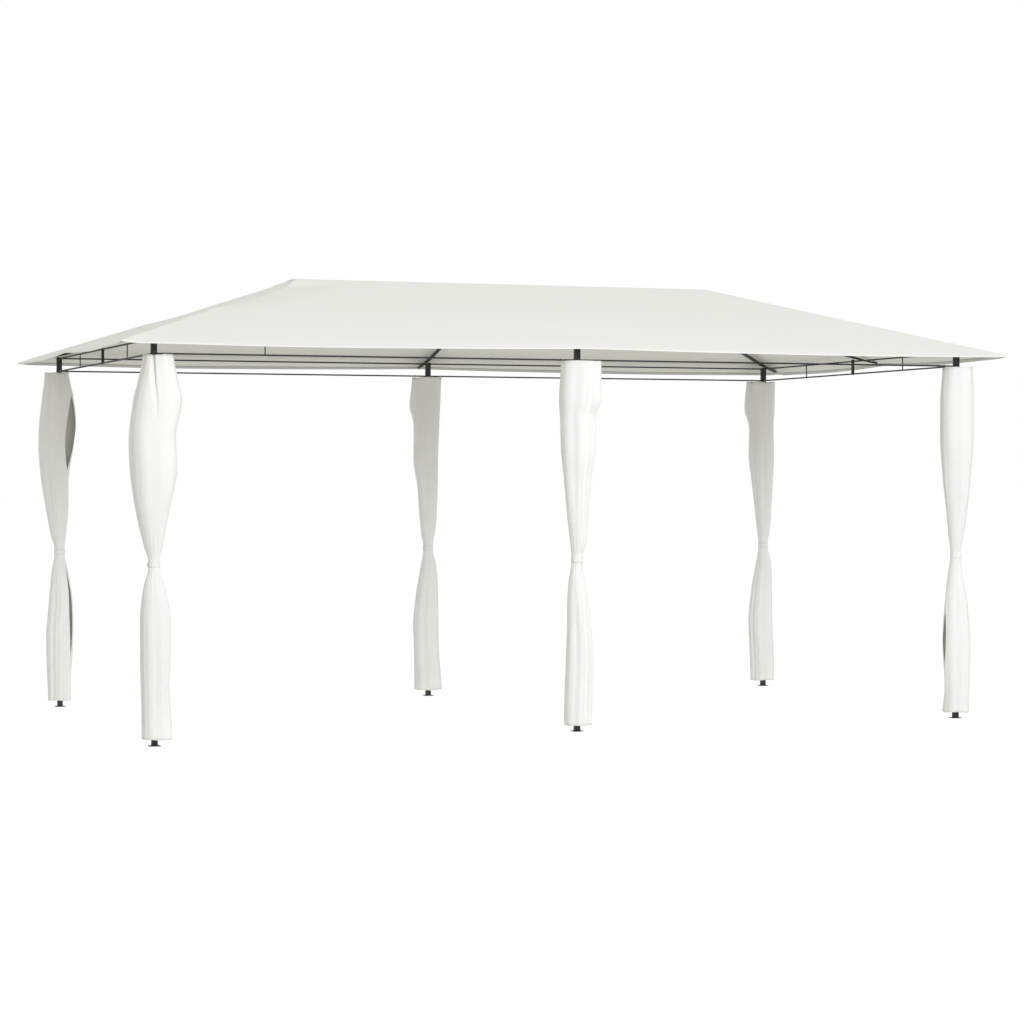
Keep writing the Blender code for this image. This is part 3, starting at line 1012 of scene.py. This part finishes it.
class GAZEBO_OT_stage(Operator):
    """Lay the pale floor, light it softly and set the camera where the photograph was taken"""

    bl_idname = "gazebo.stage"
    bl_label = "Stage"

    def execute(self, context):
        looks = context.scene.gazebo_stage
        self.lay_floor(looks)
        self.light(context.scene, looks)
        self.place_camera(context.scene)
        return {"FINISHED"}

    def lay_floor(self, looks):
        deselect_all()
        bpy.ops.mesh.primitive_grid_add(x_subdivisions=8, y_subdivisions=8, size=looks.floor_half * 2)
        floor = settle(bpy.context.object, "floor", [self.floor_material(looks)])

    def floor_material(self, looks):
        """Pale floor: bright to the eye, with only a faint shade under the gazebo."""
        recipe = Recipe(bpy.data.materials.new("pale_floor"))
        recipe.tree.nodes.remove(recipe.shader)
        grain = recipe.between(recipe.noise(recipe.spot(), 3.0, 4.0), 0.88, 0.90)
        tint = recipe.add("ShaderNodeCombineColor", {"Red": grain, "Green": grain, "Blue": grain})
        matt = recipe.add("ShaderNodeBsdfDiffuse", {"Color": tint.outputs[0]})
        glow = recipe.add("ShaderNodeEmission", {"Strength": 1.12})
        seen = recipe.add("ShaderNodeMixShader", {0: 0.80, 1: matt.outputs[0], 2: glow.outputs[0]})
        bounce = recipe.add("ShaderNodeEmission", {"Color": (*looks.surround, 1.0)})
        recipe.split_rays("Material Output", seen, bounce)
        return recipe.owner

    def light(self, scene, looks):
        scene.world = bpy.data.worlds.new("studio")
        recipe = Recipe(scene.world)
        shine = recipe.feed(recipe.tree.nodes["Background"], {"Color": (*looks.surround, 1.0)})
        seen = recipe.add("ShaderNodeBackground", {"Color": (1.0, 1.0, 1.0, 1.0)})
        recipe.split_rays("World Output", seen, shine)
        scene.view_settings.view_transform = "Standard"
        box = {"shape": "RECTANGLE", "size": 3.2, "size_y": 4.0}
        self.hang("softbox", "AREA", looks.softbox, (0.4, -11.5, 5.64), (0.0, 0.0, 1.83), box)
        for name, strength, place, spread in (
            ("top_light", looks.top, (1.0, -2.8, 7.2), 90),
            ("fill_light", looks.fill, (1.2, -10.0, 1.6), 30),
        ):
            self.hang(name, "SUN", strength, place, (0.0, 0.0, 0.0), {"angle": math.radians(spread)})

    def hang(self, name, kind, strength, place, target, settings):
        """Hang a lamp at a place, shining at a target; a sun shines from that side."""
        data = bpy.data.lights.new(name, kind)
        data.energy = strength
        data.color = bpy.context.scene.gazebo_stage.tint
        for setting, value in settings.items():
            setattr(data, setting, value)
        lamp = bpy.data.objects.new(name, data)
        bpy.context.scene.collection.objects.link(lamp)
        lamp.location = place
        lamp.rotation_euler = (Vector(place) - Vector(target)).to_track_quat("Z", "Y").to_euler()

    def place_camera(self, scene):
        data = bpy.data.cameras.new("camera")
        data.sensor_width = 36.0
        data.lens = FOCAL_PIXELS / PICTURE_PIXELS * data.sensor_width
        data.clip_end = 1000.0
        camera = bpy.data.objects.new("camera", data)
        scene.collection.objects.link(camera)
        camera.location = CAMERA_SPOT
        camera.rotation_euler = (math.pi / 2 + CAMERA_TILT, 0.0, -CAMERA_TURN)
        scene.camera = camera


class GAZEBO_OT_roof(Operator):
    """Sew the cloth roof as one sheet, with its hem, hips and crest"""

    bl_idname = "gazebo.roof"
    bl_label = "Cloth roof"

    def execute(self, context):
        roof = context.scene.gazebo_roof
        points, quads, uvs, seams = roof_mesh(roof)
        rows = ((0, 0, (0.004, roof.hem - 0.004)), (1, 1, (0.003, 0.011)))
        outer = woven("roof_cloth", roof.colour, rows)
        inner = woven("roof_lining", roof.lining, rows, roughness=0.70, sheen=0.05)
        canopy = cloth_object("canopy", points, quads, uvs, seams, [outer, inner])
        thicken(canopy, roof.thickness, inner_material=1)
        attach(canopy, "root")
        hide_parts(*CANOPY_NODES)
        return {"FINISHED"}


RING_WIRE = 0.0014


class GAZEBO_OT_rings(Operator):
    """Hang the curtain rings on the lower rails"""

    bl_idname = "gazebo.rings"
    bl_label = "Curtain rings"

    def execute(self, context):
        looks = context.scene.gazebo_curtain
        plastic = moulded("ring_plastic", looks.ring_colour)
        rail_top = high_of("front_right_lower_rail").z
        model = self.model_ring(looks.ring_radius)
        for place in PLACES:
            for number, (spot, rail) in enumerate(ring_spots(place, looks), start=1):
                ring = copy_of(model)
                skew = 0.6 if number == 1 else -0.5
                ring.rotation_euler = (0, 0, math.atan2(rail.y, rail.x) + skew)
                ring.location = (spot.x, spot.y, rail_top - (looks.ring_radius - RING_WIRE) + 0.0002)
                settle(ring, f"curtain_ring_{place}_{number}", [plastic])
                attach(ring, "root")
        bpy.data.objects.remove(model)
        return {"FINISHED"}

    def model_ring(self, radius):
        """A split ring: a round wire with a small gap at its foot and flat ends."""
        deselect_all()
        bpy.ops.mesh.primitive_torus_add(
            major_segments=28,
            minor_segments=8,
            major_radius=radius,
            minor_radius=RING_WIRE,
            rotation=(0, math.pi / 2, 0),
        )
        ring = bpy.context.object
        bpy.ops.object.transform_apply(rotation=True)
        bpy.ops.object.mode_set(mode="EDIT")

        def in_gap(face):
            spot = face.calc_center_median()
            return abs(math.atan2(spot.y, -spot.z)) < math.radians(8)

        pick("FACE", in_gap)
        bpy.ops.mesh.delete(type="FACE")
        pick("EDGE", lambda edge: edge.is_boundary)
        bpy.ops.mesh.edge_face_add()
        bpy.ops.mesh.select_all(action="SELECT")
        bpy.ops.mesh.normals_make_consistent(inside=False)
        finish_edit(50)
        return ring


BAND_COLUMNS = 92
BAND_ROWS = 6
BAND_TURN = math.tau + 0.75
BAND_THICKNESS = 0.0011
BAND_INSET = 0.0017


class GAZEBO_OT_ties(Operator):
    """Wrap a narrow band round the waist of each curtain"""

    bl_idname = "gazebo.ties"
    bl_label = "Curtain ties"

    def execute(self, context):
        looks = context.scene.gazebo_curtain
        rows = ((0, 0, (0.004,)), (2, 0, (0.004,)))
        cloth = woven("tie_cloth", looks.tie_colour, rows, roughness=0.75)
        for place in PLACES:
            points, quads, uvs, seams = self.band(place)
            tie = cloth_object(f"tie_band_{place}", points, quads, uvs, seams, [cloth])
            thicken(tie, BAND_THICKNESS)
            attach(tie, "root")
            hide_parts(f"curtain_tie_{place}")
        return {"FINISHED"}

    def band(self, place):
        """The band from its hidden end round the curtain to its loose tail."""
        post = POST_CENTRES[place]
        seed = CURTAINS[place].seed
        start = math.radians(35 + 47 * seed)
        inner = TIE_RADIUS - BAND_INSET
        width = TIE_HIGH - TIE_LOW
        points, seams, uvs, quads = [], [], [], []
        for j in range(BAND_COLUMNS + 1):
            along = j / BAND_COLUMNS * BAND_TURN
            angle = start + along
            radius = inner + 0.0015 * smooth_step(along, math.tau - 0.7, math.tau - 0.1)
            radius += 0.0018 * smooth_step(along, BAND_TURN - 0.35, BAND_TURN)
            radius += 0.0003 * math.sin(11 * angle)
            slip = 0.0012 * math.sin(angle + seed)
            for i in range(BAND_ROWS + 1):
                part = i / BAND_ROWS
                reach = radius - 0.0005 * (2 * part - 1) ** 2
                height = TIE_LOW + 0.001 + part * (width - 0.002) + slip
                x, y = post.x + reach * math.cos(angle), post.y + reach * math.sin(angle)
                points.append((x, y, height))
                seams.append((part * width, 0.022, (1 - part) * width))
        length = BAND_TURN * TIE_RADIUS
        for j in range(BAND_COLUMNS):
            for i in range(BAND_ROWS):
                corners = ((j, i), (j + 1, i), (j + 1, i + 1), (j, i + 1))
                quads.append([column * (BAND_ROWS + 1) + row for column, row in corners])
                uvs += [(j / BAND_COLUMNS * length, i / BAND_ROWS * width) for j, i in corners]
        return points, quads, uvs, seams


class GAZEBO_OT_curtains(Operator):
    """Hang the six gathered curtains round their posts"""

    bl_idname = "gazebo.curtains"
    bl_label = "Curtains"

    def execute(self, context):
        looks = context.scene.gazebo_curtain
        hems = (0.003, looks.hem - 0.003)
        rows = ((0, 0, hems), (1, 1, hems), (2, 0, hems))
        cloth = woven("curtain_cloth", looks.colour, rows, roughness=0.72, sheen=0.18, through=0.65)
        for place in PLACES:
            points, quads, uvs, seams = curtain_mesh(place, looks)
            curtain = cloth_object(f"curtain_cloth_{place}", points, quads, uvs, seams, [cloth])
            thicken(curtain, looks.thickness)
            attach(curtain, "root")
            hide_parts(f"curtain_{place}")
            rings = [o for o in bpy.data.objects if o.name.startswith(f"curtain_ring_{place}_")]
        return {"FINISHED"}

    def rails_over(self, place):
        """The rails that a curtain's rings hang on."""
        row, column = place.split("_")
        left, right = f"{row}_left_truss", f"{row}_right_lower_rail"
        if column == "middle":
            return [left, right]
        return [left if column == "left" else right, f"{column}_end_truss"]


# Rim and depth of the sunk cap in a post's end
CAP_RIM = 0.0018
CAP_DEPTH = 0.0015


class GAZEBO_OT_posts(Operator):
    """Stand the six posts: square tube with rounded corners and a capped top"""

    bl_idname = "gazebo.posts"
    bl_label = "Posts"

    def execute(self, context):
        looks = context.scene.gazebo_frame
        coat = powder_coat("post_coat", looks.coat)
        for place in PLACES:
            node = f"post_{place}"
            post = start_block(*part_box(node))
            pick("EDGE", is_upright)
            bpy.ops.mesh.bevel(offset=looks.tube_corner, segments=3, affect="EDGES")
            for side in (1, -1):
                pick("FACE", lambda face: face.normal.z * side > 0.9)
                bpy.ops.mesh.inset(thickness=CAP_RIM)
                extrude(0, 0, -CAP_DEPTH * side)
            finish_edit(35)
            settle(post, f"post_tube_{place}", [coat])
            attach(post, "root")
            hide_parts(node)
        return {"FINISHED"}


# Rounds in which a rafter's slant settles between its box and its thickness, where its
# tube is cut round, and (place, share of the bend, share of the pinch) at its outer end
AXIS_ROUNDS = 8
RAFTER_CUTS = (0.10, 0.30)
RAFTER_BENDS = ((0.0, 1.0, 1.0), (0.10, 0.35, 0.75))

# Radius of a rafter's corners, and rim and depth of its hollow end
RAFTER_CORNER = 0.0016
RAFTER_RIM = 0.0015
RAFTER_HOLLOW = 0.004


def rafter_nodes():
    """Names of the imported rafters, in order."""
    return sorted(name for name in frame["nodes"] if "rafter" in name)


class GAZEBO_OT_rafters(Operator):
    """Fit the eight rafters: square tubes, pinched and bent up to the cloth at the eave"""

    bl_idname = "gazebo.rafters"
    bl_label = "Rafters"

    def execute(self, context):
        looks = context.scene.gazebo_frame
        coat = powder_coat("rafter_coat", looks.coat)
        for node in rafter_nodes():
            tip, root, side = self.axis(node)
            along = (root - tip).normalized()
            if node.startswith("hip"):
                tip += along * looks.hip_cut
            level = Vector((-along.y, along.x, 0)).normalized()
            rise = along.cross(level)
            bend = self.bend_up(tip + rise * (side / 2), level * (side / 2), context.scene.gazebo_roof)
            rafter = self.model_tube((root - tip).length, side, bend, looks)
            turn = Matrix((along, level, rise)).transposed().to_4x4()
            rafter.matrix_world = Matrix.Translation(tip) @ turn
            settle(rafter, f"tube_{node}", [coat])
            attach(rafter, "root")
            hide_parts(node)
        return {"FINISHED"}

    def axis(self, node):
        """Ends of a packed rafter's axis, the eave's end first, and its side."""
        low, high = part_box(node)
        size, centre = high - low, (low + high) / 2
        side = (high_of("end_rafter_left") - low_of("end_rafter_left")).y
        along = size.copy()
        for _ in range(AXIS_ROUNDS):
            level = Vector((-along.y, along.x, 0)).normalized()
            rise = along.normalized().cross(level)
            along = Vector([size[i] - side * (abs(level[i]) + abs(rise[i])) for i in range(3)])
        half = Vector((math.copysign(along.x, centre.x), math.copysign(along.y, centre.y), -along.z)) / 2
        return centre + half, centre - half, side

    def bend_up(self, top, aside, roof):
        """How far a rafter's end bends up, so that its upper corners carry the cloth."""
        gaps = [roof_height(spot.x, spot.y, roof) - spot.z for spot in (top - aside, top + aside)]
        return min(gaps) - roof.thickness - SEAT_GAP

    def model_tube(self, length, side, bend, looks):
        """A tube along X from its bent and pinched end at the origin."""
        half = side / 2
        tube = start_block(Vector((0, -half, -half)), Vector((length, half, half)))

        def runs_along(edge):
            return abs((edge.verts[1].co - edge.verts[0].co).normalized().x) > 0.99

        pick("EDGE", runs_along)
        bpy.ops.mesh.bevel(offset=RAFTER_CORNER, segments=2, affect="EDGES")
        for place in RAFTER_CUTS:
            bpy.ops.mesh.select_all(action="SELECT")
            bpy.ops.mesh.bisect(plane_co=(place, 0, 0), plane_no=(1, 0, 0))
        for place, bent, pinched in RAFTER_BENDS:
            middle = bend * bent
            pick("VERT", lambda corner: abs(corner.co.x - place) < 1e-4)
            bpy.ops.transform.translate(value=(0, 0, middle))
            pick("VERT", lambda corner: abs(corner.co.x - place) < 1e-4 and corner.co.z < middle)
            bpy.ops.transform.translate(value=(0, 0, (side - looks.tip) * pinched))
        pick("FACE", lambda face: face.normal.x < -0.9)
        bpy.ops.mesh.inset(thickness=RAFTER_RIM)
        extrude(RAFTER_HOLLOW, 0, 0)
        finish_edit(35)
        return tube


class GAZEBO_OT_plates(Operator):
    """Lay the base plates and run the weld round each post's foot"""

    bl_idname = "gazebo.plates"
    bl_label = "Base plates"

    def execute(self, context):
        looks = context.scene.gazebo_frame
        coat = powder_coat("plate_coat", looks.coat)
        for place in PLACES:
            node = f"base_plate_{place}"
            low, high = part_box(node)
            plate = join([self.model_plate(low, high, looks), self.model_bead(place, high.z, looks)])
            settle(plate, f"foot_plate_{place}", [coat])
            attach(plate, "root")
            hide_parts(node)
        return {"FINISHED"}

    def model_plate(self, low, high, looks):
        """A plate with rounded corners and a softened upper edge."""
        plate = start_block(low, high)
        pick("EDGE", is_upright)
        bpy.ops.mesh.bevel(offset=looks.plate_corner, segments=4, affect="EDGES")
        middle = (low.z + high.z) / 2

        def on_top_rim(edge):
            above = all(corner.co.z > middle for corner in edge.verts)
            return above and any(abs(face.normal.z) < 0.5 for face in edge.link_faces)

        pick("EDGE", on_top_rim)
        bpy.ops.mesh.bevel(offset=0.0007, segments=2, affect="EDGES")
        finish_edit(35)
        return plate

    def model_bead(self, place, plate_top, looks):
        """A ring of weld that fills the corner between the post and its plate."""
        centre = POST_CENTRES[place]
        half = width_of(f"post_{place}") / 2
        deselect_all()
        bpy.ops.mesh.primitive_cone_add(
            vertices=32,
            radius1=half + looks.bead,
            radius2=half + 0.0002,
            depth=looks.bead,
            end_fill_type="NGON",
            location=(centre.x, centre.y, plate_top + looks.bead / 2),
        )
        bead = bpy.context.object
        bpy.ops.object.transform_apply(location=True)
        for corner in bead.data.vertices:
            offset = Vector((corner.co.x - centre.x, corner.co.y - centre.y))
            square = offset * (offset.length / max(abs(offset.x), abs(offset.y)))
            ripple = 1 + 0.012 * math.sin(21 * math.atan2(offset.y, offset.x))
            blend = offset.lerp(square, 0.85) * ripple
            corner.co.x = centre.x + blend.x
            corner.co.y = centre.y + blend.y
        bpy.ops.object.shade_smooth_by_angle(angle=math.radians(50))
        return bead


class GAZEBO_OT_bolts(Operator):
    """Bolt the rails to the posts with dome-headed bolts and washers"""

    bl_idname = "gazebo.bolts"
    bl_label = "Rail bolts"

    def execute(self, context):
        looks = context.scene.gazebo_frame
        coat = powder_coat("bolt_coat", looks.coat)
        model = self.model_bolt(looks.bolt)
        heights = [centre_of(f"front_right_{level}_rail").z for level in ("lower", "upper")]
        for place, (column, row) in PLACES.items():
            centre = POST_CENTRES[place]
            half = width_of(f"post_{place}") / 2
            faces = [Vector((0, row, 0))]
            if column:
                faces.append(Vector((column, 0, 0)))
            bolts = []
            for face in faces:
                for height in heights:
                    bolt = copy_of(model)
                    bolt.location = (centre.x + face.x * half, centre.y + face.y * half, height)
                    bolt.rotation_euler = face.to_track_quat("Z", "Y").to_euler()
                    bolts.append(bolt)
            settle(join(bolts), f"rail_bolts_{place}", [coat])
            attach(bolts[0], "root")
        bpy.data.objects.remove(model)
        return {"FINISHED"}

    def model_bolt(self, radius):
        """A washer under a low dome with a round socket."""
        deselect_all()
        size = {"radius": radius * 1.5, "depth": 0.0012}
        bpy.ops.mesh.primitive_cylinder_add(vertices=18, location=(0, 0, 0.0006), **size)
        washer = bpy.context.object
        bpy.ops.object.transform_apply(location=True)
        bpy.ops.object.mode_set(mode="EDIT")
        pick("FACE", lambda face: face.normal.z > 0.9)
        bpy.ops.mesh.inset(thickness=radius * 0.5)
        extrude(0, 0, radius * 0.25)
        for shrink, rise in ((0.80, 0.20), (0.62, 0.12)):
            extrude(0, 0, radius * rise)
            bpy.ops.transform.resize(value=(shrink, shrink, 1))
        bpy.ops.mesh.inset(thickness=radius * 0.06)
        extrude(0, 0, -radius * 0.3)
        finish_edit(40)
        return washer


class GAZEBO_OT_coat(Operator):
    """Powder-coat the rails, trusses and ridge that stay as packed"""

    bl_idname = "gazebo.coat"
    bl_label = "Frame coat"

    def execute(self, context):
        coat = powder_coat("frame_coat", context.scene.gazebo_frame.coat)
        for name, node in frame["nodes"].items():
            if "rafter" in name or name.startswith(("canopy", "curtain", "post", "base_plate")):
                continue
            node.data.materials.clear()
            node.data.materials.append(coat)
        return {"FINISHED"}


OPERATORS = (
    GAZEBO_OT_stage,
    GAZEBO_OT_coat,
    GAZEBO_OT_posts,
    GAZEBO_OT_rafters,
    GAZEBO_OT_plates,
    GAZEBO_OT_bolts,
    GAZEBO_OT_roof,
    GAZEBO_OT_rings,
    GAZEBO_OT_ties,
    GAZEBO_OT_curtains,
)


class GAZEBO_PT_pieces(Panel):
    """Sidebar panel with the settings and one button for each group of pieces"""

    bl_idname = "GAZEBO_PT_pieces"
    bl_label = "Garden Gazebo"
    bl_space_type = "VIEW_3D"
    bl_region_type = "UI"
    bl_category = "Gazebo"

    def draw(self, context):
        for group in (name for name, _ in GROUPS):
            box = self.layout.box()
            settings = getattr(context.scene, group)
            box.label(text=group.replace("gazebo_", "").title())
            for name in settings.__annotations__:
                box.prop(settings, name)
        for operator in OPERATORS:
            self.layout.operator(operator.bl_idname)


GROUPS = (
    ("gazebo_roof", RoofSettings),
    ("gazebo_curtain", CurtainSettings),
    ("gazebo_frame", FrameSettings),
    ("gazebo_stage", StageSettings),
)


def register():
    for name, group in GROUPS:
        bpy.utils.register_class(group)
        setattr(bpy.types.Scene, name, PointerProperty(type=group))
    for item in (*OPERATORS, GAZEBO_PT_pieces):
        bpy.utils.register_class(item)


def unregister():
    for item in (GAZEBO_PT_pieces, *reversed(OPERATORS)):
        bpy.utils.unregister_class(item)
    for name, group in reversed(GROUPS):
        delattr(bpy.types.Scene, name)
        bpy.utils.unregister_class(group)


def main():
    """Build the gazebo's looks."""
    register()
    for operator in OPERATORS:
        family, action = operator.bl_idname.split(".")
        getattr(getattr(bpy.ops, family), action)()


if __name__ == "__main__":
    main()
